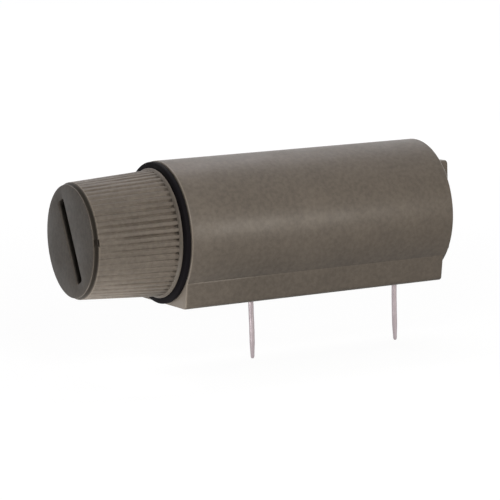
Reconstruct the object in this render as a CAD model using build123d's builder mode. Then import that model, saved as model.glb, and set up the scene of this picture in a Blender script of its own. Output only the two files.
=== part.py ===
from build123d import *
import os
from math import atan2, cos, degrees, radians, sin, sqrt

# A closed fuse holder for a circuit board, lying on its foot. A round tube holds a
# 5 by 20 mm glass fuse, and a ribbed bayonet cap draws the fuse out at the front.
# Millimetres. X runs from the cap to the rear, Z up from the board, and the origin
# lies on the board midway between the two pins.

os.makedirs("parts", exist_ok=True)

# Pins, two straight wires in line under the foot
pin_pitch = 15.24
pin_radius = 0.25
pin_length = 6.0
pin_tip_chamfer = 0.08
pin_shank_radius = 0.45
pin_head_rise = 0.1
pin_hole_gap = 0.03
rear_pin_lead = 0.83

# Housing, a tube with a narrower flat foot
foot_half_width = 4.56
foot_shoulder_height = 2.37
foot_edge_radius = 0.4
foot_end_step = 0.3
front_edge_chamfer = 0.1
rear_edge_chamfer = 0.12

# Fuse
fuse_length = 20.0
fuse_setback = 1.5
ferrule_radius = 2.6
ferrule_length = 5.0
ferrule_wall = 0.13
ferrule_floor = 0.25
ferrule_edge = 0.2
glass_gap = 0.02
glass_wall = 0.5
solder_radius = 0.9
solder_height = 0.8
fuse_wire_radius = 0.09

# Clip, a slotted metal cup that grips the front ferrule
clip_wall = 0.25
clip_fit = 0.04
clip_reach = 2.8
clip_band_length = 3.0
clip_slot_width = 0.6
clip_slot_count = 4
clip_seat_gap = 0.02
fuse_end_gap = 0.05

# Cap, a tapered ribbed knob with a driver slot, a neck for the seal and a bayonet stem
knob_length = 8.2
knob_gap = 0.55
knob_face_radius = 5.14
knob_rear_radius = 5.62
knob_edge_chamfer = 0.22
rib_count = 58
rib_front_depth = 0.1
rib_rear_depth = 0.24
rib_groove_slope = 0.78
rib_front_band = 0.27
flange_width = 0.3
flange_step = 0.18
driver_slot_length = 7.7
driver_slot_width = 1.2
driver_slot_depth = 2.2
driver_slot_lean = 24.2
stem_radius = 5.0
stem_fit = 0.08
stem_end_gap = 0.12
stem_bore_lead = 0.16
lug_width = 2.2
lug_height = 0.6
lug_length = 1.4
lug_end_lead = 1.2
lug_play = 0.12
lock_turn = 60.0

# Seal, a rubber washer on the neck between the knob and the mouth
neck_step = 0.25
seal_thickness = 1.59
seal_edge = 0.12
seal_gap = 0.03
seal_setback = 0.06

# Front contact, a folded leaf that bears on the clip
leaf_thickness = 0.25
leaf_width = 1.8
leaf_crest_overlap = 0.4
leaf_run = 3.6
leaf_crest_gap = 0.03
leaf_tip_drop = 0.22
leaf_tip_lead = 0.6
leaf_fold_radius = 0.2
groove_gap = 0.1
groove_side_gap = 0.1
leaf_base_lead = 0.9

# Rear contact, plunger, spring and plug
chamber_gap = 0.55
plunger_gap = 0.05
plunger_radius = 2.2
plunger_head = 0.7
plunger_edge = 0.15
shank_radius = 0.95
shank_fit = 0.08
plunger_travel = 1.0
plunger_return = 0.8
tail_radius = 1.25
tail_length = 0.3
spring_room = 2.7
spring_wire_radius = 0.18
spring_wire_side_count = 6
spring_coil_radius = 1.55
spring_turns = 3.5
spring_end_gap = 0.03
rear_plate_thickness = 0.3
rear_tab_lead = 0.77
plug_half_width = 3.55
plug_top = 4.55
plug_inside = 1.55
plug_corner_radius = 0.5
plug_fit = 0.04
plug_proud = 1.3
plug_edge = 0.25

# The stem sets the seal, the seal all but reaches the tube's own radius, and the tube
# touches the board
seal_inner_radius = stem_radius - neck_step
seal_radius = seal_inner_radius + seal_thickness
body_radius = seal_radius + seal_setback
axis_z = body_radius
main_axis = Axis((0, 0, axis_z), (1, 0, 0))
foot_shoulder_half_width = sqrt(body_radius**2 - (axis_z - foot_shoulder_height) ** 2)

# Places along X, from the rear pin back to the plug and forward through the fuse to the mouth
front_pin_x = -pin_pitch / 2
rear_pin_x = pin_pitch / 2
plate_x = rear_pin_x + rear_pin_lead
plug_front_x = plate_x + rear_plate_thickness
rear_x = plug_front_x + plug_inside
spring_front_x = plate_x - spring_room
plunger_x = spring_front_x - plunger_head
fuse_rear_x = plunger_x - plunger_gap
fuse_front_x = fuse_rear_x - fuse_length
front_x = fuse_front_x - fuse_setback
body_length = rear_x - front_x

# Knob and seal, in front of the mouth
knob_rear_x = front_x - knob_gap
knob_face_x = knob_rear_x - knob_length
seal_x = knob_rear_x + seal_gap
seal_width = knob_gap - 2 * seal_gap

# The stem ends short of the front contact, whose groove starts ahead of the front pin
groove_front_x = front_pin_x - leaf_base_lead - groove_gap
stem_bore_end_x = groove_front_x - stem_bore_lead
stem_end_x = stem_bore_end_x - stem_end_gap
stem_bore_radius = stem_radius + stem_fit
lug_front_x = stem_end_x - lug_end_lead - lug_length
lug_radius = stem_radius + lug_height
lug_angle = -driver_slot_lean
track_radius = lug_radius + lug_play
track_front_x = lug_front_x - lug_play
track_rear_x = lug_front_x + lug_length + lug_play

# Clip round the front end of the fuse, and the chamber round the clip
clip_inner_radius = ferrule_radius + clip_fit
clip_radius = clip_inner_radius + clip_wall
clip_floor_x = fuse_front_x - fuse_end_gap - clip_wall
clip_end_x = stem_end_x + clip_reach
chamber_radius = clip_radius + chamber_gap

# Contacts lie on the floor of a groove under the chamber
leaf_crest_z = axis_z - clip_radius - leaf_crest_gap
groove_floor_z = axis_z - chamber_radius - leaf_thickness - groove_gap
groove_half_width = leaf_width / 2 + groove_side_gap
pin_hole_radius = pin_shank_radius + pin_hole_gap

# Rear end
tail_x = plug_front_x + plunger_return
plug_hole_depth = plunger_return + tail_length + plunger_travel + shank_fit
plug_height = axis_z + plug_top - groove_floor_z


with BuildPart() as foot:
    # The foot widens upward until its sides run into the round tube
    with BuildSketch(Plane.YZ.offset(front_x)):
        with BuildLine():
            Polyline(
                (-foot_half_width, 0),
                (foot_half_width, 0),
                (foot_shoulder_half_width, foot_shoulder_height),
                (0, axis_z),
                (-foot_shoulder_half_width, foot_shoulder_height),
                close=True,
            )
        make_face()
    extrude(amount=body_length - foot_end_step)
    fillet(foot.edges().filter_by(Axis.X).group_by(Axis.Z)[0], foot_edge_radius)
    chamfer(foot.faces().sort_by(Axis.X)[0].edges(), front_edge_chamfer)
    chamfer(foot.faces().sort_by(Axis.X)[-1].edges(), front_edge_chamfer)

with BuildPart() as housing:
    # Round tube on the foot, which ends a little short of its rear face
    with BuildSketch(Plane.YZ.offset(front_x)):
        with Locations((0, axis_z)):
            Circle(body_radius)
    extrude(amount=body_length)
    chamfer(housing.edges().sort_by(Axis.X)[-1], rear_edge_chamfer)
    chamfer(housing.edges().sort_by(Axis.X)[0], front_edge_chamfer)
    add(foot.part)

    # Stem bore and fuse chamber
    with BuildSketch(Plane.YZ.offset(front_x)):
        with Locations((0, axis_z)):
            Circle(stem_bore_radius)
    extrude(amount=stem_bore_end_x - front_x, mode=Mode.SUBTRACT)
    with BuildSketch(Plane.YZ.offset(front_x)):
        with Locations((0, axis_z)):
            Circle(chamber_radius)
    extrude(amount=plate_x - front_x, mode=Mode.SUBTRACT)

    # Bayonet tracks: an axial entry for each lug, then the turn to the lock
    with BuildSketch(Plane.YZ.offset(front_x)):
        with Locations(Location((0, axis_z), lug_angle)):
            Circle(track_radius)
            Rectangle(2 * track_radius, lug_width + 2 * lug_play, mode=Mode.INTERSECT)
    extrude(amount=track_rear_x - front_x, mode=Mode.SUBTRACT)
    half_lug = degrees(atan2(lug_width / 2 + lug_play, stem_radius))
    with BuildSketch(Plane.YZ.offset(track_front_x)):
        for side in (0, 180):
            start = radians(lug_angle + side - half_lug)
            end = radians(lug_angle + side + lock_turn + half_lug)
            middle = (start + end) / 2
            with BuildLine():
                Line((0, axis_z), (track_radius * cos(start), axis_z + track_radius * sin(start)))
                ThreePointArc(
                    (track_radius * cos(start), axis_z + track_radius * sin(start)),
                    (track_radius * cos(middle), axis_z + track_radius * sin(middle)),
                    (track_radius * cos(end), axis_z + track_radius * sin(end)),
                )
                Line((track_radius * cos(end), axis_z + track_radius * sin(end)), (0, axis_z))
            make_face()
    extrude(amount=track_rear_x - track_front_x, mode=Mode.SUBTRACT)

    # Groove for the contacts and pocket for the plug
    with BuildSketch(Plane.YZ.offset(groove_front_x)):
        with Locations((0, groove_floor_z)):
            Rectangle(2 * groove_half_width, axis_z - groove_floor_z, align=(Align.CENTER, Align.MIN))
    extrude(amount=plate_x - groove_front_x, mode=Mode.SUBTRACT)
    with BuildSketch(Plane.YZ.offset(plate_x)):
        with Locations((0, groove_floor_z)):
            RectangleRounded(
                2 * (plug_half_width + plug_fit),
                plug_height + plug_fit,
                plug_corner_radius,
                align=(Align.CENTER, Align.MIN),
            )
    extrude(amount=rear_x - plate_x, mode=Mode.SUBTRACT)

    # Holes for the two pins
    with BuildSketch(Plane.XY):
        with Locations((front_pin_x, 0), (rear_pin_x, 0)):
            Circle(pin_hole_radius)
    extrude(amount=axis_z, mode=Mode.SUBTRACT)
housing.part.label = "housing"
export_step(housing.part, "parts/housing.step")

with BuildPart() as front_contact:
    # Base strip on the groove floor, a fold at the rear, and a leaf up to the clip
    base_z = groove_floor_z + leaf_thickness / 2
    crest_x = clip_end_x - leaf_crest_overlap
    fold_x = crest_x + leaf_run
    fold_top_z = base_z + 2 * leaf_fold_radius
    crest_z = leaf_crest_z - leaf_thickness / 2
    with BuildSketch(Plane.XZ):
        with BuildLine():
            Line((front_pin_x - leaf_base_lead, base_z), (fold_x, base_z))
            ThreePointArc(
                (fold_x, base_z),
                (fold_x + leaf_fold_radius, base_z + leaf_fold_radius),
                (fold_x, fold_top_z),
            )
            Line((fold_x, fold_top_z), (crest_x, crest_z))
            Line((crest_x, crest_z), (crest_x - leaf_tip_lead, crest_z - leaf_tip_drop))
        trace(line_width=leaf_thickness)
    extrude(amount=leaf_width / 2, both=True)
    with Locations((front_pin_x, 0, base_z)):
        Cylinder(pin_hole_radius, 2 * leaf_thickness, mode=Mode.SUBTRACT)
front_contact.part.label = "front_contact"
export_step(front_contact.part, "parts/front_contact.step")

with BuildPart() as rear_contact:
    # Plate across the rear of the chamber, with a foot tab folded forward to its pin
    with BuildSketch(Plane.YZ.offset(plate_x)):
        with Locations((0, groove_floor_z)):
            RectangleRounded(
                2 * plug_half_width, plug_height, plug_corner_radius, align=(Align.CENTER, Align.MIN)
            )
        with Locations((0, axis_z)):
            Circle(shank_radius + shank_fit, mode=Mode.SUBTRACT)
    extrude(amount=rear_plate_thickness)
    with BuildSketch(Plane.XY.offset(groove_floor_z)):
        with Locations((plate_x, 0)):
            Rectangle(rear_pin_lead + rear_tab_lead, leaf_width, align=(Align.MAX, Align.CENTER))
        with Locations((rear_pin_x, 0)):
            Circle(pin_hole_radius, mode=Mode.SUBTRACT)
    extrude(amount=rear_plate_thickness)
rear_contact.part.label = "rear_contact"
export_step(rear_contact.part, "parts/rear_contact.step")

pins = (
    ("front_pin", front_pin_x, leaf_thickness),
    ("rear_pin", rear_pin_x, rear_plate_thickness),
)
for pin_name, pin_x, seat_thickness in pins:
    # Tinned wire under the foot, with a stouter shank from the board plane up to its contact
    with BuildPart() as pin:
        with BuildSketch(Plane.XY):
            with Locations((pin_x, 0)):
                Circle(pin_radius)
        extrude(amount=-pin_length)
        chamfer(pin.edges().group_by(Axis.Z)[0], pin_tip_chamfer)
        with BuildSketch(Plane.XY):
            with Locations((pin_x, 0)):
                Circle(pin_shank_radius)
        extrude(amount=groove_floor_z + seat_thickness + pin_head_rise)
    pin.part.label = pin_name
    export_step(pin.part, f"parts/{pin_name}.step")

with BuildPart() as rear_plug:
    # Block that closes the rear pocket and stands a little proud of it
    with BuildSketch(Plane.YZ.offset(plug_front_x)):
        with Locations((0, groove_floor_z)):
            RectangleRounded(
                2 * plug_half_width, plug_height, plug_corner_radius, align=(Align.CENTER, Align.MIN)
            )
    extrude(amount=rear_x + plug_proud - plug_front_x)
    chamfer(rear_plug.edges().group_by(Axis.X)[-1], plug_edge)
    with BuildSketch(Plane.YZ.offset(plug_front_x)):
        with Locations((0, axis_z)):
            Circle(tail_radius + shank_fit)
    extrude(amount=plug_hole_depth, mode=Mode.SUBTRACT)
rear_plug.part.label = "rear_plug"
export_step(rear_plug.part, "parts/rear_plug.step")

with BuildPart() as contact_plunger:
    # Head against the fuse, shank through the rear plate, and a riveted tail
    with BuildSketch(Plane.XZ):
        with BuildLine():
            Polyline(
                (plunger_x, axis_z),
                (plunger_x, axis_z + plunger_radius),
                (spring_front_x, axis_z + plunger_radius),
                (spring_front_x, axis_z + shank_radius),
                (tail_x, axis_z + shank_radius),
                (tail_x, axis_z + tail_radius),
                (tail_x + tail_length, axis_z + tail_radius),
                (tail_x + tail_length, axis_z),
                close=True,
            )
        make_face()
    revolve(axis=main_axis)
    chamfer(contact_plunger.edges().group_by(Axis.X)[0], plunger_edge)
contact_plunger.part.label = "contact_plunger"
export_step(contact_plunger.part, "parts/contact_plunger.step")

with BuildPart() as contact_spring:
    # Coil spring round the shank, between the plunger head and the rear plate. Its fine wire
    # has flats for a round section, so that the coil stays light.
    spring_height = spring_room - 2 * (spring_wire_radius + spring_end_gap)
    spring_start_x = spring_front_x + spring_wire_radius + spring_end_gap
    with BuildLine() as coil:
        Helix(
            spring_height / spring_turns,
            spring_height,
            spring_coil_radius,
            center=(spring_start_x, 0, axis_z),
            direction=(1, 0, 0),
        )
    with BuildSketch(Plane(coil.line @ 0, z_dir=coil.line % 0)):
        RegularPolygon(spring_wire_radius, spring_wire_side_count)
    sweep(path=coil.line, is_frenet=True)
contact_spring.part.label = "contact_spring"
export_step(contact_spring.part, "parts/contact_spring.step")


def knob_radius(x):
    share = (x - knob_face_x) / (knob_length - flange_width)
    return knob_face_radius + share * (knob_rear_radius - knob_face_radius)


with BuildPart() as cap:
    # Core with the smooth front band, rear flange, seal neck and hollow stem
    band_x = knob_face_x + rib_front_band
    flange_x = knob_rear_x - flange_width
    core_radius = knob_face_radius - rib_rear_depth
    flange_radius = knob_rear_radius + flange_step
    with BuildSketch(Plane.XZ):
        with BuildLine():
            Polyline(
                (knob_face_x, axis_z),
                (knob_face_x, axis_z + knob_face_radius - knob_edge_chamfer),
                (knob_face_x + knob_edge_chamfer, axis_z + knob_radius(knob_face_x + knob_edge_chamfer)),
                (band_x, axis_z + knob_radius(band_x)),
                (band_x, axis_z + core_radius),
                (flange_x, axis_z + core_radius),
                (flange_x, axis_z + knob_rear_radius),
                (flange_x + flange_step, axis_z + flange_radius),
                (knob_rear_x, axis_z + flange_radius),
                (knob_rear_x, axis_z + seal_inner_radius),
                (front_x, axis_z + seal_inner_radius),
                (front_x, axis_z + stem_radius),
                (stem_end_x, axis_z + stem_radius),
                (stem_end_x, axis_z),
                close=True,
            )
        make_face()
    revolve(axis=main_axis)

    # Fine grip ribs, lofted along the taper: the grooves between them deepen toward the rear
    for rib_x, groove_depth in ((band_x, rib_front_depth), (flange_x, rib_rear_depth)):
        groove_half = rib_groove_slope * groove_depth
        with BuildSketch(Plane.YZ.offset(rib_x)):
            with Locations((0, axis_z)):
                Circle(knob_radius(rib_x))
                with PolarLocations(knob_radius(rib_x), rib_count):
                    Polygon(
                        (-groove_depth, 0),
                        (groove_depth, groove_half * 2),
                        (groove_depth, -groove_half * 2),
                        align=None,
                        mode=Mode.SUBTRACT,
                    )
    loft(ruled=True)

    # Two bayonet lugs across the stem
    with BuildSketch(Plane.YZ.offset(lug_front_x)):
        with Locations(Location((0, axis_z), lug_angle)):
            Circle(lug_radius)
            Rectangle(2 * lug_radius, lug_width, mode=Mode.INTERSECT)
    extrude(amount=lug_length)

    # Hollow for the clip, then the driver slot in the face
    with BuildSketch(Plane.YZ.offset(clip_floor_x)):
        with Locations((0, axis_z)):
            Circle(clip_radius + clip_seat_gap)
    extrude(amount=stem_end_x - clip_floor_x, mode=Mode.SUBTRACT)
    with BuildSketch(Plane.YZ.offset(knob_face_x)):
        with Locations(Location((0, axis_z), -driver_slot_lean)):
            RectangleRounded(driver_slot_width, driver_slot_length, driver_slot_width / 5)
    extrude(amount=driver_slot_depth, mode=Mode.SUBTRACT)
cap.part.label = "cap"
export_step(cap.part, "parts/cap.step")

with BuildPart() as seal_ring:
    with BuildSketch(Plane.XZ) as seal_section:
        with Locations((seal_x, axis_z + seal_inner_radius)):
            Rectangle(seal_width, seal_thickness, align=(Align.MIN, Align.MIN))
        chamfer(seal_section.vertices().group_by(Axis.Y)[-1], seal_edge)
    revolve(axis=main_axis)
seal_ring.part.label = "seal_ring"
export_step(seal_ring.part, "parts/seal_ring.step")

with BuildPart() as fuse_clip:
    # Metal cup whose wall is slit from the open end into springy fingers
    with BuildSketch(Plane.YZ.offset(clip_floor_x)):
        with Locations((0, axis_z)):
            Circle(clip_radius)
    extrude(amount=clip_end_x - clip_floor_x)
    with BuildSketch(Plane.YZ.offset(clip_floor_x + clip_wall)):
        with Locations((0, axis_z)):
            Circle(clip_inner_radius)
    extrude(amount=clip_end_x - clip_floor_x - clip_wall, mode=Mode.SUBTRACT)
    with BuildSketch(Plane.YZ.offset(clip_floor_x + clip_band_length)):
        with Locations((0, axis_z)):
            with PolarLocations(0, clip_slot_count, start_angle=180 / clip_slot_count):
                Rectangle(2 * clip_radius, clip_slot_width, align=(Align.MIN, Align.CENTER))
    extrude(amount=clip_end_x - clip_floor_x - clip_band_length, mode=Mode.SUBTRACT)
fuse_clip.part.label = "fuse_clip"
export_step(fuse_clip.part, "parts/fuse_clip.step")

glass_radius = ferrule_radius - ferrule_wall - glass_gap
glass_bore = glass_radius - glass_wall
glass_front_x = fuse_front_x + ferrule_floor + glass_gap
glass_rear_x = fuse_rear_x - ferrule_floor - glass_gap

with BuildPart() as fuse_glass:
    with BuildSketch(Plane.YZ.offset(glass_front_x)):
        with Locations((0, axis_z)):
            Circle(glass_radius)
            Circle(glass_bore, mode=Mode.SUBTRACT)
    extrude(amount=glass_rear_x - glass_front_x)
fuse_glass.part.label = "fuse_glass"
export_step(fuse_glass.part, "parts/fuse_glass.step")

fuse_ends = (
    ("front", fuse_front_x, 1),
    ("rear", fuse_rear_x, -1),
)
for end_name, end_x, inward in fuse_ends:
    # Drawn cup over the end of the glass
    with BuildPart() as ferrule:
        with BuildSketch(Plane.XZ):
            with BuildLine():
                Polyline(
                    (end_x, axis_z),
                    (end_x, axis_z + ferrule_radius),
                    (end_x + inward * ferrule_length, axis_z + ferrule_radius),
                    (end_x + inward * ferrule_length, axis_z + ferrule_radius - ferrule_wall),
                    (end_x + inward * ferrule_floor, axis_z + ferrule_radius - ferrule_wall),
                    (end_x + inward * ferrule_floor, axis_z),
                    close=True,
                )
            make_face()
        revolve(axis=main_axis)
        closed_edge = ferrule.edges().sort_by(lambda edge: abs(edge.center().X - end_x))[0]
        chamfer(closed_edge, ferrule_edge)
    ferrule.part.label = f"fuse_{end_name}_ferrule"
    export_step(ferrule.part, f"parts/fuse_{end_name}_ferrule.step")

    # Bead of solder that holds the wire to the ferrule
    with BuildPart() as solder:
        solder_x = end_x + inward * ferrule_floor
        with BuildSketch(Plane.XZ):
            with BuildLine():
                Polyline(
                    (solder_x, axis_z),
                    (solder_x, axis_z + solder_radius),
                    (solder_x + inward * solder_height / 2, axis_z + solder_radius * 0.7),
                    (solder_x + inward * solder_height, axis_z + fuse_wire_radius),
                    (solder_x + inward * solder_height, axis_z),
                    close=True,
                )
            make_face()
        revolve(axis=main_axis)
    solder.part.label = f"fuse_{end_name}_solder"
    export_step(solder.part, f"parts/fuse_{end_name}_solder.step")

with BuildPart() as fuse_wire:
    wire_front_x = fuse_front_x + ferrule_floor + solder_height
    wire_rear_x = fuse_rear_x - ferrule_floor - solder_height
    with BuildSketch(Plane.YZ.offset(wire_front_x)):
        with Locations((0, axis_z)):
            Circle(fuse_wire_radius)
    extrude(amount=wire_rear_x - wire_front_x)
fuse_wire.part.label = "fuse_wire"
export_step(fuse_wire.part, "parts/fuse_wire.step")
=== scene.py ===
"""Closed circuit-board fuse holder with a bayonet cap: fine pieces, materials, light, camera."""

from math import atan2, cos, pi, radians, sin, sqrt, tau

import bmesh
import bpy
from mathutils import Matrix, Vector, noise


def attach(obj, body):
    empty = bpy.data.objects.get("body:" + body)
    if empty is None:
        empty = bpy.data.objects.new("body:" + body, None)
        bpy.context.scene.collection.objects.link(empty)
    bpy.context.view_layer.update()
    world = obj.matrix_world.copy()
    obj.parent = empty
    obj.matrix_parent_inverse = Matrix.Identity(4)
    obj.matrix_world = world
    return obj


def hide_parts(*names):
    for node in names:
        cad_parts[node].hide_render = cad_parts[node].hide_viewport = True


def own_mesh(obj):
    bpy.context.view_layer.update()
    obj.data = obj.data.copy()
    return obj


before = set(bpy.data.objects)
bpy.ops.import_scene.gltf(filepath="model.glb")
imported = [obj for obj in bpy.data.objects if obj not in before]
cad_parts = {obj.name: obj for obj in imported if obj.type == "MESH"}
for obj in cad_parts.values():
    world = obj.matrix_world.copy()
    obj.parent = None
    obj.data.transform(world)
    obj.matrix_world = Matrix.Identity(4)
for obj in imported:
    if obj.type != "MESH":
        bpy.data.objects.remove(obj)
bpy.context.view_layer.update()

# Sizes in millimetres and angles in radians, on the frame's own axes
MM = 0.001
AXIS_Z = 6.4
TINY = 1e-9
FAR = 1e9

# Tube, foot and what is cut in them
FRONT_X = -16.5
REAR_X = 10.3
BODY_R = 6.4
FOOT_HALF = 4.56
SHOULDER_Y = 4.98
SHOULDER_Z = 2.37 - AXIS_Z
FOOT_EDGE = 0.4
FOOT_REAR_X = REAR_X - 0.3
FRONT_EDGE = 0.1
REAR_EDGE = 0.14
FOOT_END_EDGE = 0.12
BEAD = ((0.03, 0.025), (0.06, 0.03), (0.1, 0.015))
BEAD_END_X = -7.0
BEAD_FADE = 6.0
STEM_BORE_R = 5.08
STEM_BORE_END = -8.78
CHAMBER_R = 3.44
GROOVE_Z = 3.79
GROOVE_HALF = 1.0
GROOVE_FRONT = -8.62
PLATE_X = 8.45
POCKET_EDGE = 0.06
TRACK_R = 5.72
TRACK_FRONT = -11.62
TRACK_REAR = -9.98
TRACK_HALF = atan2(1.22, 5.0)
TRACK_HAIR = 1e-4
MOUTH_FLAT_R = TRACK_R + 0.05
LUG_ANGLE = radians(-24.2)
LOCK_TURN = radians(60)

# Face of the cap, from the slot to the band behind the groove
FACE_X = -25.25
FACE_R = 5.14
FACE_EDGE = 0.14
FACE_ROUND = 0.05
SLOT_ANGLE = radians(64)
SLOT_HALF_LENGTH = 3.85
SLOT_HALF_WIDTH = 0.6
SLOT_CORNER = 0.24
SLOT_DEPTH = 2.2
SLOT_EDGE = 0.1
RING_GROOVE_X = FACE_X + 0.07
RING_GROOVE_WIDTH = 0.36
RING_GROOVE_DEPTH = 0.3
NICK_ANGLE = radians(176)
NICK_DEPTH = 0.3
NICK_HALF = 0.42
PLAIN_BAND = (FACE_X + 0.45, FACE_X + 0.5)
BAND_X = FACE_X + 0.53

# Grip, flange, neck, stem and lugs of the cap
KNOB_REAR_X = -17.05
KNOB_R = 5.62
FLANGE_X = KNOB_REAR_X - 0.3
FLANGE_R = 5.8
FLANGE_LIP = ((FLANGE_X + 0.14, FLANGE_R - 0.03), (FLANGE_X + 0.19, FLANGE_R))
FLANGE_EDGE = 0.06
RIBS = 58
RIB_STEPS = 12
RIB_SHARE = 0.62
RIB_DEPTH = 0.08
RIB_DEEPENING = 0.07
RIB_UNEVEN = 0.7
RIB_TAIL_STEP = 0.1
RIB_TAIL_DEPTH = 0.14
RIB_TAIL_DEEPENING = 0.12
CRISP_ANGLE = radians(166)
CRISP_BASE = 0.7
CRISP_RISE = 0.6
NECK_R = 4.75
STEM_R = 5.0
STEM_END = -8.9
STEM_EDGE = 0.15
CAVITY_R = 2.91
CAVITY_X = -15.3
CAVITY_EDGE = 0.1
LUG_HALF = 1.1
LUG_TOP = 5.6
LUG_FRONT = -11.5
LUG_REAR = -10.1
LUG_CORNER = 0.25
LUG_RINGS = ((STEM_R - 0.3, 0.0), (LUG_TOP - 0.12, 0.0), (LUG_TOP - 0.03, 0.03), (LUG_TOP, 0.12))

SEAL_FRONT = -17.02
SEAL_REAR = -16.53
SEAL_INNER = 4.75
SEAL_OUTER = 6.34
SEAL_EDGE = 0.16

PLUG_HALF = 3.55
PLUG_TOP = 4.55
PLUG_CORNER = 0.32
PLUG_FIT = 0.04
PLUG_FRONT = 8.75
PLUG_REAR = 11.6
PLUG_EDGE = 0.14
TAIL_HOLE_R = 1.33
TAIL_HOLE_X = 10.93

PIN_X = (-7.62, 7.62)
PIN_R = 0.25
PIN_TIP = -6.0
KINK_Z = -1.8
KINK_LENGTH = 1.2
PIN_WANDER = 0.016
PIN_UNEVEN = 0.04
PIN_TAPER = 1.5
PIN_NIP = 0.16

SPRING_X = (5.96, 8.24)
SPRING_R = 1.55
SPRING_WIRE = 0.18
SPRING_TURNS = 3.5
SPRING_STEPS = 240
SPRING_CLOSING = 0.04

# The plastic's colour, and the tones of the painted shade and painted highlights as shares of it
GREY_BROWN = (0.142, 0.120, 0.0975)
# Painted shade: tone of the darkened driver slot and groove round the face
PAINTED_SHADE = 0.4
# Painted highlight: tone of the lit band behind the face groove
RIM_PAINTED_HIGHLIGHT = 1.25
# Painted highlight: tone of the lit edge of the cap's flange
FLANGE_PAINTED_HIGHLIGHT = 1.2
# Painted highlight: tone of the lit edge round the mouth
MOUTH_PAINTED_HIGHLIGHT = 1.7

# Noise scales in waves per metre, and bump heights in metres
CLOUD_SCALE = 300
SPECK_SCALE = 2600
WEAR_SCALE = 420
GRAIN_SCALE = 7000
SWELL_SCALE = 330
TARNISH_SCALE = 900
BLOOM_SCALE = 700
SKIN_SCALE = 6000
GRAIN_HEIGHT = 0.00002
SWELL_HEIGHT = 0.00004
RIPPLE_HEIGHT = 0.00003

# Floor, camera and lamps, in metres, radians and shares of white
CENTRE = Vector((-0.0075, 0, 0.004))
WHITE_FOR = ("Is Camera Ray", "Is Glossy Ray", "Is Transmission Ray")
WORLD_LEVEL = 0.02
FLOOR_SIZE = 6.0
FLOOR_TONE = 0.1
FLOOR_GLOW = (0.94, 1.0)
FLOOR_GLOW_AWAY = (0.06, 0.3)
CAMERA_TURN = (radians(-27.643), radians(8.1266), radians(-1.8771))
CAMERA_AIM = Vector((-0.007486, 0, 0.003923))
CAMERA_AWAY = 0.22132
CAMERA_LENS = 175.57
CAMERA_SHIFT = (-0.001, 0.001)
CAMERA_CLIP = (0.01, 10)
PINKISH = (1.0, 0.95, 0.98)
WARM = (1.0, 0.93, 0.84)


# ---- mesh building ----


class Surface:
    """Points in millimetres and faces, gathered ring by ring."""

    def __init__(self):
        self.points = []
        self.faces = []

    def loft(self, rings, start=None, end=None, close=False):
        """Joins rings of equal count; start and end are the centre points of closing fans."""
        count = len(rings[0])
        first = len(self.points)
        for ring in rings:
            self.points.extend(ring)
        spans = len(rings) if close else len(rings) - 1
        for span in range(spans):
            a = first + span * count
            b = first + (span + 1) % len(rings) * count
            for i in range(count):
                j = (i + 1) % count
                self.faces.append((a + i, a + j, b + j, b + i))
        for centre, offset in ((start, 0), (end, (len(rings) - 1) * count)):
            if centre is None:
                continue
            hub = len(self.points)
            self.points.append(centre)
            for i in range(count):
                self.faces.append((first + offset + i, first + offset + (i + 1) % count, hub))


def make_piece(name, surface, material, body, nodes, sharp=32):
    """Turns a surface into an object that rides on a body and stands for CAD nodes."""
    mesh = bpy.data.meshes.new(name)
    mesh.from_pydata([(x * MM, y * MM, z * MM) for x, y, z in surface.points], [], surface.faces)
    bm = bmesh.new()
    bm.from_mesh(mesh)
    bmesh.ops.remove_doubles(bm, verts=bm.verts, dist=1e-7)
    bmesh.ops.recalc_face_normals(bm, faces=bm.faces)
    bm.to_mesh(mesh)
    bm.free()
    mesh.shade_smooth()
    mesh.set_sharp_from_angle(angle=radians(sharp))
    mesh.materials.append(material)
    piece = bpy.data.objects.new(name, mesh)
    bpy.context.scene.collection.objects.link(piece)
    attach(piece, body)
    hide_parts(*nodes)
    return piece


def even_angles(count):
    return [tau * i / count for i in range(count)]


def arc_steps(count):
    """Angles of a quarter turn, for edge roundings."""
    return [pi / 2 * i / count for i in range(count + 1)]


def polar(x, angles, radius):
    """A ring at x; radius is a number or a function of the angle."""
    ring = []
    for angle in angles:
        r = radius(angle) if callable(radius) else radius
        ring.append((x, r * cos(angle), AXIS_Z + r * sin(angle)))
    return ring


def polar_rings(steps, angles):
    """A ring for each (x, radius)."""
    return [polar(x, angles, radius) for x, radius in steps]


def rounded_end(x, radius, edge, angles, count):
    """The rings of a rounded outer edge that ends toward the rear, at x."""
    return [
        polar(x - edge * (1 - sin(a)), angles, radius - edge * (1 - cos(a)))
        for a in arc_steps(count)
    ]


def rounded_box_radius(angle, side, low, high, corner):
    """Distance from the axis to a rounded rectangle's outline, along an angle."""
    c, s = cos(angle), sin(angle)
    level = high if s > 0 else low
    to_side = side / abs(c) if abs(c) > TINY else FAR
    to_level = level / abs(s) if abs(s) > TINY else FAR
    reach = min(to_side, to_level)
    cy, cz = side - corner, level - corner
    if reach * abs(c) > cy and reach * abs(s) > cz:
        along = cy * abs(c) + cz * abs(s)
        off = cy * cy + cz * cz - corner * corner
        reach = along + sqrt(max(along * along - off, 0.0))
    return reach


def tube(path, radii, count):
    """A round closed tube along points in millimetres, with rings square to the path."""
    rings = []
    reference = None
    for i, at in enumerate(path):
        ahead = path[min(i + 1, len(path) - 1)] - path[max(i - 1, 0)]
        ahead.normalize()
        if reference is None:
            reference = ahead.orthogonal().normalized()
        reference = (reference - ahead * reference.dot(ahead)).normalized()
        other = ahead.cross(reference)
        ring = []
        for angle in even_angles(count):
            ring.append(tuple(at + (reference * cos(angle) + other * sin(angle)) * radii[i]))
        rings.append(ring)
    surface = Surface()
    surface.loft(rings, tuple(path[0]), tuple(path[-1]))
    return surface


# ---- materials ----


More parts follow.
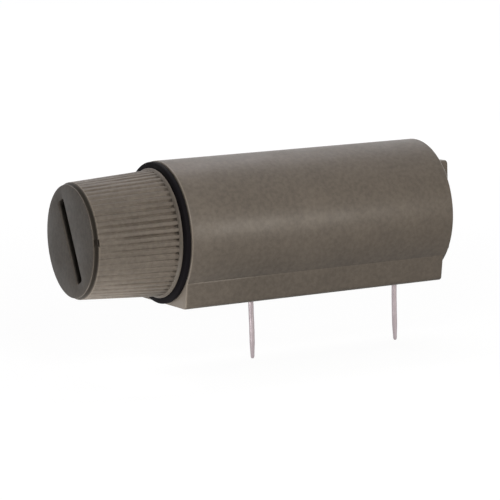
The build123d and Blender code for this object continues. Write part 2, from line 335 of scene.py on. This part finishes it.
class Nodes:
    """A small helper that adds and links shader nodes."""

    def __init__(self, name):
        self.material = bpy.data.materials.new(name)
        self.material.use_nodes = True
        self.tree = self.material.node_tree
        self.shader = self.tree.nodes["Principled BSDF"]
        self.place = self.add("ShaderNodeTexCoord").outputs["Object"]

    def add(self, kind, **values):
        node = self.tree.nodes.new(kind)
        for key, value in values.items():
            setattr(node, key, value)
        return node

    def link(self, source, target):
        self.tree.links.new(source, target)

    def mapped(self, key, value):
        """The object's own coordinates, shifted (Location) or stretched (Scale)."""
        mapping = self.add("ShaderNodeMapping")
        mapping.inputs[key].default_value = value
        self.link(self.place, mapping.inputs["Vector"])
        return mapping.outputs["Vector"]

    def noise(self, scale, detail=3.0, rough=0.55, vector=None):
        node = self.add("ShaderNodeTexNoise")
        node.inputs["Scale"].default_value = scale
        node.inputs["Detail"].default_value = detail
        node.inputs["Roughness"].default_value = rough
        self.link(vector or self.place, node.inputs["Vector"])
        return node.outputs["Fac"]

    def ramp(self, source, low, high, low_colour, high_colour):
        node = self.add("ShaderNodeValToRGB")
        node.color_ramp.elements[0].position = low
        node.color_ramp.elements[1].position = high
        node.color_ramp.elements[0].color = (*low_colour, 1)
        node.color_ramp.elements[1].color = (*high_colour, 1)
        self.link(source, node.inputs["Fac"])
        return node.outputs["Color"]

    def span(self, source, low, high, from_low=0.3, from_high=0.7):
        node = self.add("ShaderNodeMapRange")
        node.inputs["From Min"].default_value = from_low
        node.inputs["From Max"].default_value = from_high
        node.inputs["To Min"].default_value = low
        node.inputs["To Max"].default_value = high
        self.link(source, node.inputs["Value"])
        return node.outputs["Result"]

    def mix(self, factor, a, b):
        """A blend of two tones; each value is a number, a colour or an output."""
        node = self.add("ShaderNodeMix", data_type="RGBA")
        for key, value in (("Factor", factor), ("A", a), ("B", b)):
            if isinstance(value, (int, float)):
                node.inputs[key].default_value = value
            elif isinstance(value, tuple):
                node.inputs[key].default_value = (*value, 1)
            else:
                self.link(value, node.inputs[key])
        return node.outputs["Result"]

    def bump(self, height, strength, distance, normal=None):
        node = self.add("ShaderNodeBump")
        node.inputs["Strength"].default_value = strength
        node.inputs["Distance"].default_value = distance
        self.link(height, node.inputs["Height"])
        if normal is not None:
            self.link(normal, node.inputs["Normal"])
        return node.outputs["Normal"]

    def feed(self, **outputs):
        """Links outputs to the shader's inputs."""
        for key, output in outputs.items():
            self.link(output, self.shader.inputs[key.replace("_", " ")])

    def set(self, **values):
        """Sets uniform values on the shader's inputs."""
        for key, value in values.items():
            self.shader.inputs[key.replace("_", " ")].default_value = value


def shade(colour, factor):
    return tuple(c * factor for c in colour)


def moulded_plastic(name, colour, roughness, gloss, seed, painted_light):
    """Matte filled plastic: cloudy tone, speckle, worn patches, a dry grain, and painted shade
    and painted highlights where the masks say.
    """
    m = Nodes(name)
    place = m.mapped("Location", (seed, seed * 0.7, seed * 0.3))
    cloud = m.noise(CLOUD_SCALE, 4.0, 0.6, place)
    tone = m.ramp(cloud, 0.3, 0.7, shade(colour, 0.84), shade(colour, 1.16))
    speck = m.noise(SPECK_SCALE, 3.0, 0.6, place)
    speckled = m.ramp(speck, 0.36, 0.64, shade(colour, 0.78), shade(colour, 1.22))
    tone = m.mix(0.5, tone, speckled)
    # Painted shade and painted highlights, mixed into the tone where each mask says
    for where, level in painted_light(m):
        tone = m.mix(where, tone, shade(colour, level))
    wear = m.noise(WEAR_SCALE, 4.0, 0.6, place)
    grain = m.noise(GRAIN_SCALE, 2.0, 0.5, place)
    swell = m.noise(SWELL_SCALE, 2.0, 0.5, place)
    m.feed(
        Base_Color=tone,
        Roughness=m.span(wear, roughness - 0.05, roughness + 0.06),
        Normal=m.bump(swell, 0.25, SWELL_HEIGHT, m.bump(grain, 0.18, GRAIN_HEIGHT)),
    )
    m.set(Specular_IOR_Level=gloss)
    return m.material


def drawn_metal(name, colour, roughness, scale, dull=0.86, grain=0.12):
    """Metal with fine lines along the draw and a cloudy tarnish."""
    m = Nodes(name)
    lines = m.noise(1.0, 3.0, 0.6, m.mapped("Scale", scale))
    cloud = m.noise(TARNISH_SCALE, 4.0, 0.6)
    tone = m.ramp(cloud, 0.35, 0.7, shade(colour, dull), colour)
    tone = m.mix(0.3, tone, m.ramp(lines, 0.35, 0.65, shade(colour, 0.8), shade(colour, 1.08)))
    m.feed(
        Base_Color=tone,
        Roughness=m.span(cloud, roughness + 0.1, roughness - 0.04),
        Normal=m.bump(lines, grain, GRAIN_HEIGHT),
    )
    m.set(Metallic=1.0)
    return m.material


def black_rubber(name, colour):
    """Moulded rubber with a soft bloom and a fine skin."""
    m = Nodes(name)
    bloom = m.noise(BLOOM_SCALE, 4.0, 0.6)
    m.feed(
        Base_Color=m.ramp(bloom, 0.35, 0.7, colour, shade(colour, 1.6)),
        Roughness=m.span(bloom, 0.6, 0.75),
        Normal=m.bump(m.noise(SKIN_SCALE, 2.0), 0.15, GRAIN_HEIGHT),
    )
    m.set(Specular_IOR_Level=0.06)
    return m.material


def clear_glass(name):
    """Thin drawn glass with slight ripples along the tube."""
    m = Nodes(name)
    ripple = m.noise(1.0, 2.0, 0.5, m.mapped("Scale", (120, 900, 900)))
    m.feed(
        Normal=m.bump(ripple, 0.12, RIPPLE_HEIGHT),
        Base_Color=m.ramp(ripple, 0.3, 0.7, (0.86, 0.93, 0.91), (0.94, 0.97, 0.96)),
        Roughness=m.span(ripple, 0.02, 0.06),
    )
    m.set(Transmission_Weight=1.0, IOR=1.5)
    return m.material


def axis_place(m):
    """Distance from the axis and place along it."""
    split = m.add("ShaderNodeSeparateXYZ")
    m.link(m.place, split.inputs["Vector"])
    level = m.add("ShaderNodeCombineXYZ")
    m.link(split.outputs["Y"], level.inputs["Y"])
    m.link(split.outputs["Z"], level.inputs["Z"])
    distance = m.add("ShaderNodeVectorMath", operation="DISTANCE")
    m.link(level.outputs["Vector"], distance.inputs[0])
    distance.inputs[1].default_value = (0, 0, AXIS_Z * MM)
    return distance.outputs["Value"], split.outputs["X"]


def where_all(m, *ramps):
    """One where each (value, start, full) in millimetres has passed its full end."""
    total = None
    for value, start, full in ramps:
        share = m.span(value, 0.0, 1.0, start * MM, full * MM)
        if total is not None:
            node = m.add("ShaderNodeMath", operation="MULTIPLY")
            m.link(total, node.inputs[0])
            m.link(share, node.inputs[1])
            share = node.outputs[0]
        total = share
    return total


def knob_painted_light(m):
    """Painted shade in the driver slot and in the groove round the face, and painted highlights
    on the band behind the groove and on the flange's edge.
    """
    away, x = axis_place(m)
    # Painted shade deep in the driver slot
    slot = where_all(m, (away, 4.4, 4.3), (x, FACE_X + 0.08, FACE_X + 0.2))
    # Painted shade in the groove round the face
    groove = where_all(
        m,
        (away, 5.12, 5.02),
        (away, 4.45, 4.55),
        (x, FACE_X + 0.06, FACE_X + 0.1),
        (x, FACE_X + 0.6, FACE_X + 0.5),
    )
    # Painted highlight on the band behind the face groove
    rim = where_all(
        m,
        (away, 5.08, 5.12),
        (x, FACE_X + 0.42, FACE_X + 0.44),
        (x, FACE_X + 0.62, FACE_X + 0.55),
    )
    # Painted highlight on the flange's outer edge
    flange = where_all(
        m,
        (away, FLANGE_R - 0.05, FLANGE_R - 0.01),
        (x, KNOB_REAR_X, KNOB_REAR_X - 0.05),
    )
    return (slot, PAINTED_SHADE), (groove, PAINTED_SHADE), (rim, RIM_PAINTED_HIGHLIGHT), (flange, FLANGE_PAINTED_HIGHLIGHT)


def housing_painted_highlight(m):
    """Painted highlight on the edge round the mouth."""
    away, x = axis_place(m)
    # Painted highlight on the outer edge of the mouth
    mouth = where_all(
        m,
        (away, BODY_R - 0.25, BODY_R - 0.15),
        (x, FRONT_X + 0.16, FRONT_X + 0.08),
    )
    return ((mouth, MOUTH_PAINTED_HIGHLIGHT),)


plastic = moulded_plastic("housing_plastic_fine", GREY_BROWN, 0.41, 0.28, 0.0, housing_painted_highlight)
# Painted light: the cap's colour is the housing's made 1.12 times lighter, to make up for the
# light that falls on it
cap_plastic = moulded_plastic(
    "cap_plastic_fine", shade(GREY_BROWN, 1.12), 0.45, 0.2, 0.13, knob_painted_light
)
# The seal's rubber is made almost black so that it also stands for the deep shade in the gap
# between cap and mouth: partly a seal, partly painted shade
seal_rubber_and_shade = black_rubber("seal_rubber_and_painted_shade_fine", (0.0042, 0.0034, 0.0042))
plated = drawn_metal("plated_brass_fine", (0.72, 0.66, 0.52), 0.3, (300, 5000, 5000))
tinned = drawn_metal("tinned_wire_fine", (0.43, 0.37, 0.385), 0.36, (7000, 7000, 350), 0.8, 0.2)
tinned_fuse = drawn_metal("fuse_wire_fine", (0.66, 0.64, 0.62), 0.3, (500, 9000, 9000))
brass = drawn_metal("plain_brass_fine", (0.72, 0.53, 0.24), 0.26, (9000, 400, 400))
steel = drawn_metal("spring_steel_fine", (0.56, 0.55, 0.53), 0.28, (2500, 2500, 2500))
nickel = drawn_metal("ferrule_metal_fine", (0.74, 0.73, 0.71), 0.18, (6000, 500, 500), 0.92, 0.06)
solder = drawn_metal("solder_fine", (0.58, 0.58, 0.57), 0.42, (1500, 1500, 1500), 0.82, 0.3)
glass = clear_glass("fuse_glass_fine")


# ---- housing ----


def body_outline():
    """The section of tube and foot, as (y, z) from the axis, outward normal and bead.

    The bead is how far the crease stands proud there, on the foot; the tube has None.
    """
    shoulder = Vector((SHOULDER_Y, SHOULDER_Z))
    start = atan2(SHOULDER_Z, SHOULDER_Y)
    arc_count, side_count, edge_count, base_count = 220, 10, 8, 12
    tube_points = []
    for i in range(arc_count + 1):
        angle = start + (pi - 2 * start) * i / arc_count
        c, s = cos(angle), sin(angle)
        tube_points.append((BODY_R * c, BODY_R * s, c, s, None))
    side = Vector((FOOT_HALF - SHOULDER_Y, -AXIS_Z - SHOULDER_Z)).normalized()
    out = Vector((-side.y, side.x))
    turn = atan2(out.y, out.x)
    swing = (turn + pi / 2) / 2
    corner = Vector((FOOT_HALF, -AXIS_Z))
    centre = corner + Vector((-cos(turn - swing), -sin(turn - swing))) * FOOT_EDGE / cos(swing)
    side_end = centre + out * FOOT_EDGE
    right = []
    for along, proud in BEAD + tuple((i / side_count, 0.0) for i in range(2, side_count)):
        at = shoulder.lerp(side_end, along)
        right.append((at.x, at.y, out.x, out.y, proud))
    for i in range(edge_count + 1):
        angle = turn - 2 * swing * i / edge_count
        n = Vector((cos(angle), sin(angle)))
        at = centre + n * FOOT_EDGE
        right.append((at.x, at.y, n.x, n.y, 0.0))
    for i in range(1, base_count):
        right.append((centre.x * (1 - i / base_count), -AXIS_Z, 0.0, -1.0, 0.0))
    left = [(-y, z, -ny, nz, proud) for y, z, ny, nz, proud in right]
    middle = [(0.0, -AXIS_Z, 0.0, -1.0, 0.0)]
    return tube_points + left + middle + right[::-1]


OUTLINE = body_outline()
OUTLINE_ANGLES = [atan2(z, y) for y, z, *_ in OUTLINE]


def body_ring(x, tube_inset=0.0, foot_inset=0.0):
    """The section at x; the bead fades out toward the rear."""
    ring = []
    fade = min(max((BEAD_END_X - x) / BEAD_FADE, 0.0), 1.0)
    for y, z, ny, nz, proud in OUTLINE:
        inset = tube_inset if proud is None else foot_inset - proud * fade
        ring.append((x, y - ny * inset, AXIS_Z + z - nz * inset))
    return ring


def pocket_radius(angle):
    return rounded_box_radius(
        angle, PLUG_HALF + PLUG_FIT, GROOVE_Z, PLUG_TOP + PLUG_FIT, PLUG_CORNER
    )


def chamber_radius(angle):
    """The round chamber with the contact groove cut in its floor."""
    if sin(angle) < 0 and CHAMBER_R * abs(cos(angle)) < GROOVE_HALF:
        to_side = GROOVE_HALF / max(abs(cos(angle)), 1e-6)
        return max(CHAMBER_R, min(GROOVE_Z / -sin(angle), to_side))
    return CHAMBER_R


def track_radius(turn):
    """The stem bore with the two bayonet tracks, each wider by a turn."""

    def radius(angle):
        for side in (0.0, pi):
            offset = (angle - LUG_ANGLE - side + TRACK_HALF) % tau
            if offset <= 2 * TRACK_HALF + turn:
                return TRACK_R
        return STEM_BORE_R

    return radius


def track_angles():
    """Even angles, with a close pair at each wall of the tracks."""
    angles = set(even_angles(240))
    for side in (0.0, pi):
        for edge in (-TRACK_HALF, TRACK_HALF, TRACK_HALF + LOCK_TURN):
            for nudge in (-TRACK_HAIR, TRACK_HAIR):
                angles.add((LUG_ANGLE + side + edge + nudge) % tau)
    return sorted(angles)


def build_housing():
    """The outside from the mouth to the rear, the pocket and chamber, and the stem bore."""
    rings = []
    for a in arc_steps(4):
        drop = FRONT_EDGE * (1 - sin(a))
        rings.append(body_ring(FRONT_X + FRONT_EDGE * (1 - cos(a)), drop, drop))
    length = FOOT_REAR_X - FOOT_END_EDGE - FRONT_X - FRONT_EDGE
    spans = 24
    for i in range(1, spans):
        rings.append(body_ring(FRONT_X + FRONT_EDGE + length * i / spans))
    for a in arc_steps(4):
        x = FOOT_REAR_X - FOOT_END_EDGE * (1 - sin(a))
        rings.append(body_ring(x, 0.0, FOOT_END_EDGE * (1 - cos(a))))
    rings.append(polar(FOOT_REAR_X, OUTLINE_ANGLES, BODY_R))
    rings += rounded_end(REAR_X, BODY_R, REAR_EDGE, OUTLINE_ANGLES, 7)
    inside = (
        (REAR_X, lambda angle: pocket_radius(angle) + POCKET_EDGE),
        (REAR_X - POCKET_EDGE, pocket_radius),
        (PLATE_X, pocket_radius),
        (PLATE_X, chamber_radius),
        (GROOVE_FRONT, chamber_radius),
        (GROOVE_FRONT, CHAMBER_R),
        (STEM_BORE_END, CHAMBER_R),
        (STEM_BORE_END, STEM_BORE_R),
        (TRACK_REAR, STEM_BORE_R),
    )
    rings += polar_rings(inside, OUTLINE_ANGLES)
    entry, turned = track_radius(0.0), track_radius(LOCK_TURN)
    bore = (
        (TRACK_REAR, STEM_BORE_R),
        (TRACK_REAR, turned),
        (TRACK_FRONT, turned),
        (TRACK_FRONT, entry),
        (FRONT_X, entry),
        (FRONT_X, MOUTH_FLAT_R),
    )
    shell = Surface()
    shell.loft(rings)
    shell.loft(polar_rings(bore, track_angles()))
    shell.loft([polar(FRONT_X, OUTLINE_ANGLES, MOUTH_FLAT_R), rings[0]])
    make_piece("housing_shell", shell, plastic, "holder", ["housing"])


# ---- cap ----


def knob_radius(x):
    return FACE_R + (x - FACE_X) / (FLANGE_X - FACE_X) * (KNOB_R - FACE_R)


def nick(angle):
    """A small moulding nick in the front edge of the knob."""
    away = (angle - NICK_ANGLE + pi) % tau - pi
    return NICK_DEPTH * max(0.0, 1 - (away * KNOB_R / NICK_HALF) ** 2)


def slot_ring(x, angles, grow):
    half_length = SLOT_HALF_LENGTH + grow
    half_width = SLOT_HALF_WIDTH + grow
    corner = SLOT_CORNER + grow

    def radius(angle):
        return rounded_box_radius(
            angle - SLOT_ANGLE, half_length, half_width, half_width, corner
        )

    return polar(x, angles, radius)


def rib_ring(x, angles, depth):
    """Grooves between the ribs, uneven, and crisp on the side that the photograph shows so."""

    def radius(angle):
        turn = angle / tau * RIBS
        phase = (turn + 0.5) % 1.0 - 0.5
        groove = cos(pi * phase / RIB_SHARE) ** 2 if abs(phase) < RIB_SHARE / 2 else 0.0
        seed = Vector((round(turn) % RIBS * 1.37, x * 0.35, 2.0))
        uneven = 1 + RIB_UNEVEN * noise.noise(seed)
        crisp = CRISP_BASE + CRISP_RISE * max(cos(angle - CRISP_ANGLE), 0.0) ** 6
        return knob_radius(x) - depth * groove * uneven * crisp

    return polar(x, angles, radius)


def face_rings(angles):
    """The slot, the flat face, the groove round it with its nick, and the plain band."""
    slot_floor = FACE_X + SLOT_DEPTH
    rings = [
        slot_ring(slot_floor, angles, -SLOT_EDGE),
        slot_ring(slot_floor - SLOT_EDGE, angles, 0.0),
    ]
    for a in arc_steps(3):
        x = FACE_X + SLOT_EDGE * (1 - sin(a))
        rings.append(slot_ring(x, angles, SLOT_EDGE * (1 - cos(a))))
    for a in arc_steps(3):
        x = FACE_X + FACE_ROUND * (1 - cos(a))
        rings.append(polar(x, angles, FACE_R - FACE_EDGE - FACE_ROUND * (1 - sin(a))))
    for i in range(7):
        along = i / 6
        x = RING_GROOVE_X + RING_GROOVE_WIDTH * along
        depth = FACE_EDGE * (1 - along) + RING_GROOVE_DEPTH * sin(pi * along)
        rings.append(polar(x, angles, lambda angle: knob_radius(FACE_X) - depth - nick(angle)))
    for x in PLAIN_BAND:
        rings.append(polar(x, angles, lambda angle: knob_radius(x) - nick(angle)))
    return rings


def grip_rings(angles):
    """The ribbed grip, whose grooves deepen toward the flange."""
    tail_x = FLANGE_X - 5 * RIB_TAIL_STEP
    rings = []
    for i in range(15):
        share = i / 14
        x = BAND_X + (tail_x - BAND_X) * share
        rings.append(rib_ring(x, angles, RIB_DEPTH + RIB_DEEPENING * share))
    for i in range(5):
        x = tail_x + RIB_TAIL_STEP + RIB_TAIL_STEP * i
        rings.append(rib_ring(x, angles, RIB_TAIL_DEPTH + RIB_TAIL_DEEPENING * min(i, 2) / 2))
    rings.append(rib_ring(FLANGE_X, angles, 0.0))
    return rings


def add_lug(shell, across):
    """One bayonet lug with rounded corners, whose crown follows the stem."""
    middle_x = (LUG_FRONT + LUG_REAR) / 2
    half_x = (LUG_REAR - LUG_FRONT) / 2
    outward = Vector((0, cos(across), sin(across)))
    tangent = Vector((0, -sin(across), cos(across)))
    rings = []
    for height, inset in LUG_RINGS:
        half = LUG_HALF - inset
        ring = []
        for angle in even_angles(32):
            r = rounded_box_radius(angle, half_x - inset, half, half, LUG_CORNER)
            sideways = r * sin(angle)
            crown = sqrt(max(height**2 - sideways**2, 0.0))
            at = outward * crown + tangent * sideways
            ring.append((middle_x + r * cos(angle), at.y, AXIS_Z + at.z))
        rings.append(ring)
    top = outward * LUG_TOP
    shell.loft(rings, end=(middle_x, top.y, AXIS_Z + top.z))


def build_cap():
    angles = even_angles(RIBS * RIB_STEPS)
    rings = face_rings(angles) + grip_rings(angles)
    rings += polar_rings(FLANGE_LIP, angles)
    rings += rounded_end(KNOB_REAR_X, FLANGE_R, FLANGE_EDGE, angles, 4)
    rings += polar_rings(((KNOB_REAR_X, NECK_R), (FRONT_X, NECK_R), (FRONT_X, STEM_R)), angles)
    rings += rounded_end(STEM_END, STEM_R, STEM_EDGE, angles, 3)
    cavity = (
        (STEM_END, CAVITY_R + CAVITY_EDGE),
        (STEM_END - CAVITY_EDGE, CAVITY_R),
        (CAVITY_X, CAVITY_R),
    )
    rings += polar_rings(cavity, angles)
    shell = Surface()
    shell.loft(rings, start=(FACE_X + SLOT_DEPTH, 0, AXIS_Z), end=(CAVITY_X, 0, AXIS_Z))
    for side in (0.0, pi):
        add_lug(shell, LUG_ANGLE + side)
    make_piece("cap_knob", shell, cap_plastic, "cap", ["cap"])


# ---- ring, plug, pins and spring ----


def build_seal():
    angles = even_angles(240)
    corners = (
        (SEAL_REAR - SEAL_EDGE, SEAL_OUTER - SEAL_EDGE),
        (SEAL_FRONT + SEAL_EDGE, SEAL_OUTER - SEAL_EDGE),
        (SEAL_FRONT + SEAL_EDGE, SEAL_INNER + SEAL_EDGE),
        (SEAL_REAR - SEAL_EDGE, SEAL_INNER + SEAL_EDGE),
    )
    rings = []
    for i, (x, r) in enumerate(corners):
        for a in arc_steps(5):
            turned = a + pi / 2 * i
            rings.append(polar(x + SEAL_EDGE * cos(turned), angles, r + SEAL_EDGE * sin(turned)))
    seal = Surface()
    seal.loft(rings, close=True)
    make_piece("seal_moulding", seal, seal_rubber_and_shade, "cap", ["seal_ring"])


def plug_ring(x, angles, inset):
    half = PLUG_HALF - inset
    low, high = GROOVE_Z - inset, PLUG_TOP - inset
    corner = PLUG_CORNER - inset * 0.6
    return polar(x, angles, lambda angle: rounded_box_radius(angle, half, low, high, corner))


def build_plug():
    """The rear block, with a hole in its front for the contact's tail."""
    angles = even_angles(320)
    rings = polar_rings(((TAIL_HOLE_X, TAIL_HOLE_R), (PLUG_FRONT, TAIL_HOLE_R)), angles)
    rings.append(plug_ring(PLUG_FRONT, angles, 0.0))
    rings.append(plug_ring(REAR_X, angles, 0.0))
    for a in arc_steps(6):
        x = PLUG_REAR - PLUG_EDGE * (1 - sin(a))
        rings.append(plug_ring(x, angles, PLUG_EDGE * (1 - cos(a))))
    plug = Surface()
    plug.loft(rings, start=(TAIL_HOLE_X, 0, AXIS_Z), end=(PLUG_REAR, 0, AXIS_Z))
    make_piece("plug_block", plug, plastic, "holder", ["rear_plug"])


def build_pin(index, name, node, top, kink, lean, bow):
    """Straightened lead wire with its slight step, unevenness and a nipped tip."""
    path = []
    radii = []
    count = 72
    for i in range(count + 1):
        z = top + (PIN_TIP - top) * i / count
        drop = min(max((KINK_Z - z) / KINK_LENGTH, 0.0), 1.0)
        below = min(z, 0.0) / PIN_TIP
        bend = kink * (3 * drop**2 - 2 * drop**3) + lean * below + bow * sin(pi * below)
        wander = PIN_WANDER * noise.noise(Vector((z * 0.9, index * 7.3, 0.5))) if z < 0 else 0.0
        path.append(Vector((PIN_X[index] + bend + wander, wander * 0.6, z)))
        swell = noise.noise(Vector((z * 2.1, index * 3.1, 4.0)))
        size = PIN_R * (1 - PIN_UNEVEN + PIN_UNEVEN * swell)
        to_tip = z - PIN_TIP
        if to_tip < PIN_TAPER:
            size *= 0.68 + 0.32 * to_tip / PIN_TAPER
        if to_tip < PIN_NIP:
            size *= 0.62 + 0.38 * sqrt(max(to_tip, 0.0) / PIN_NIP)
        radii.append(size)
    make_piece(name, tube(path, radii, 24), tinned, "holder", [node], sharp=50)


def build_spring():
    """Round wire coil whose end turns close up."""
    path = []
    front, rear = SPRING_X
    for i in range(SPRING_STEPS + 1):
        share = i / SPRING_STEPS
        angle = tau * SPRING_TURNS * share
        x = front + (rear - front) * (share - SPRING_CLOSING * sin(tau * share))
        path.append(Vector((x, SPRING_R * cos(angle), AXIS_Z + SPRING_R * sin(angle))))
    coil = tube(path, [SPRING_WIRE] * len(path), 14)
    spring = make_piece(
        "spring_coil", coil, steel, "holder", ["contact_spring"], sharp=60
    )
    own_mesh(spring)


build_housing()
build_cap()
build_seal()
build_plug()
build_pin(0, "front_lead", "front_pin", 2.96, 0.035, -0.05, 0.0)
build_pin(1, "rear_lead", "rear_pin", 3.01, 0.0, -0.06, -0.03)
build_spring()

# Hidden pieces keep the CAD's shapes and take the fine materials
carried = {
    "front_contact": plated,
    "rear_contact": plated,
    "fuse_clip": plated,
    "contact_plunger": brass,
    "fuse_glass": glass,
    "fuse_front_ferrule": nickel,
    "fuse_rear_ferrule": nickel,
    "fuse_front_solder": solder,
    "fuse_rear_solder": solder,
    "fuse_wire": tinned_fuse,
}
for node_name, node_material in carried.items():
    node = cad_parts[node_name]
    if node.material_slots:
        for material_slot in node.material_slots:
            material_slot.material = node_material
    else:
        node.data.materials.append(node_material)


# ---- floor, light and camera ----


def white_switch(tree):
    """Adds up the ray kinds that see a plain white surround."""
    rays = tree.nodes.new("ShaderNodeLightPath")
    total = rays.outputs[WHITE_FOR[0]]
    for ray in WHITE_FOR[1:]:
        most = tree.nodes.new("ShaderNodeMath")
        most.operation = "MAXIMUM"
        tree.links.new(total, most.inputs[0])
        tree.links.new(rays.outputs[ray], most.inputs[1])
        total = most.outputs[0]
    return total


def build_world(level):
    """A white surround that lights the object only as much as the level says."""
    world = bpy.data.worlds.new("studio")
    world.use_nodes = True
    tree = world.node_tree
    background = tree.nodes["Background"]
    background.inputs["Color"].default_value = (1, 1, 1, 1)
    strength = tree.nodes.new("ShaderNodeMapRange")
    strength.inputs["To Min"].default_value = level
    strength.inputs["To Max"].default_value = 1.0
    tree.links.new(white_switch(tree), strength.inputs["Value"])
    tree.links.new(strength.outputs["Result"], background.inputs["Strength"])
    bpy.context.scene.world = world


def build_floor(z, size):
    """A dull floor that looks white, a little less so near the object."""
    half = size / 2
    corners = [(-half, -half, z), (half, -half, z), (half, half, z), (-half, half, z)]
    mesh = bpy.data.meshes.new("floor")
    mesh.from_pydata(corners, [], [(0, 1, 2, 3)])
    floor = bpy.data.objects.new("floor", mesh)
    bpy.context.scene.collection.objects.link(floor)
    material = bpy.data.materials.new("pale_floor")
    material.use_nodes = True
    tree = material.node_tree
    shader = tree.nodes["Principled BSDF"]
    shader.inputs["Base Color"].default_value = (FLOOR_TONE, FLOOR_TONE, FLOOR_TONE, 1)
    shader.inputs["Roughness"].default_value = 0.9
    shader.inputs["Specular IOR Level"].default_value = 0.0
    shader.inputs["Emission Color"].default_value = (1, 1, 1, 1)
    place = tree.nodes.new("ShaderNodeTexCoord")
    away = tree.nodes.new("ShaderNodeVectorMath")
    away.operation = "LENGTH"
    tree.links.new(place.outputs["Object"], away.inputs[0])
    spread = tree.nodes.new("ShaderNodeMapRange")
    spread.inputs["From Min"].default_value = FLOOR_GLOW_AWAY[0]
    spread.inputs["From Max"].default_value = FLOOR_GLOW_AWAY[1]
    spread.inputs["To Min"].default_value = FLOOR_GLOW[0]
    spread.inputs["To Max"].default_value = FLOOR_GLOW[1]
    tree.links.new(away.outputs["Value"], spread.inputs["Value"])
    glow = tree.nodes.new("ShaderNodeMath")
    glow.operation = "MULTIPLY"
    tree.links.new(white_switch(tree), glow.inputs[0])
    tree.links.new(spread.outputs["Result"], glow.inputs[1])
    tree.links.new(glow.outputs[0], shader.inputs["Emission Strength"])
    mesh.materials.append(material)


def softbox(name, place, target, size, power, colour=(1, 1, 1)):
    """A rectangular lamp that the camera doesn't see, turned to its target."""
    data = bpy.data.lights.new(name, "AREA")
    data.shape = "RECTANGLE"
    data.size, data.size_y = size
    data.energy = power
    data.color = colour
    lamp = bpy.data.objects.new(name, data)
    bpy.context.scene.collection.objects.link(lamp)
    lamp.location = place
    lamp.visible_camera = False
    lamp.rotation_euler = (Vector(target) - Vector(place)).to_track_quat("-Z", "Y").to_euler()


def build_camera():
    """The photograph's camera, fitted to its outline."""
    az, el, roll = CAMERA_TURN
    back = Vector((sin(az) * cos(el), -cos(az) * cos(el), sin(el)))
    level = Vector((cos(az), sin(az), 0))
    upright = back.cross(level)
    right = level * cos(roll) + upright * sin(roll)
    up = upright * cos(roll) - level * sin(roll)
    data = bpy.data.cameras.new("camera")
    data.sensor_width = 36
    data.lens = CAMERA_LENS
    data.shift_x, data.shift_y = CAMERA_SHIFT
    data.clip_start, data.clip_end = CAMERA_CLIP
    camera = bpy.data.objects.new("camera", data)
    bpy.context.scene.collection.objects.link(camera)
    camera.matrix_world = Matrix((right, up, back)).transposed().to_4x4()
    camera.location = CAMERA_AIM + back * CAMERA_AWAY
    bpy.context.scene.camera = camera


build_camera()
build_world(WORLD_LEVEL)
build_floor(PIN_TIP * MM, FLOOR_SIZE)
softbox("back_softbox", (0.02, 0.28, 0.46), CENTRE, (0.5, 0.3), 1.1, PINKISH)
softbox("top_softbox", (-0.01, -0.05, 0.4), CENTRE, (0.4, 0.3), 0.13)
softbox("front_softbox", (-0.0315, -0.061, 0.038), (-0.019, 0, 0.006), (0.02, 0.016), 0.0215)
softbox(
    "side_card", (0.018, -0.066, 0.0125), (-0.0145, -0.006, 0.006), (0.018, 0.007), 0.015, WARM
)
softbox(
    "low_card", (-0.0238, -0.0105, -0.0045), (-0.0215, -0.0035, 0.003), (0.008, 0.006), 0.00045
)
softbox(
    "foot_card", (-0.0255, -0.0035, -0.0035), (-0.0165, -0.003, 0.0015), (0.004, 0.003), 0.0005
)
softbox("far_softbox", (0.18, 0.09, 0.035), CENTRE, (0.16, 0.1), 0.11)

bpy.context.scene.view_settings.view_transform = "Standard"
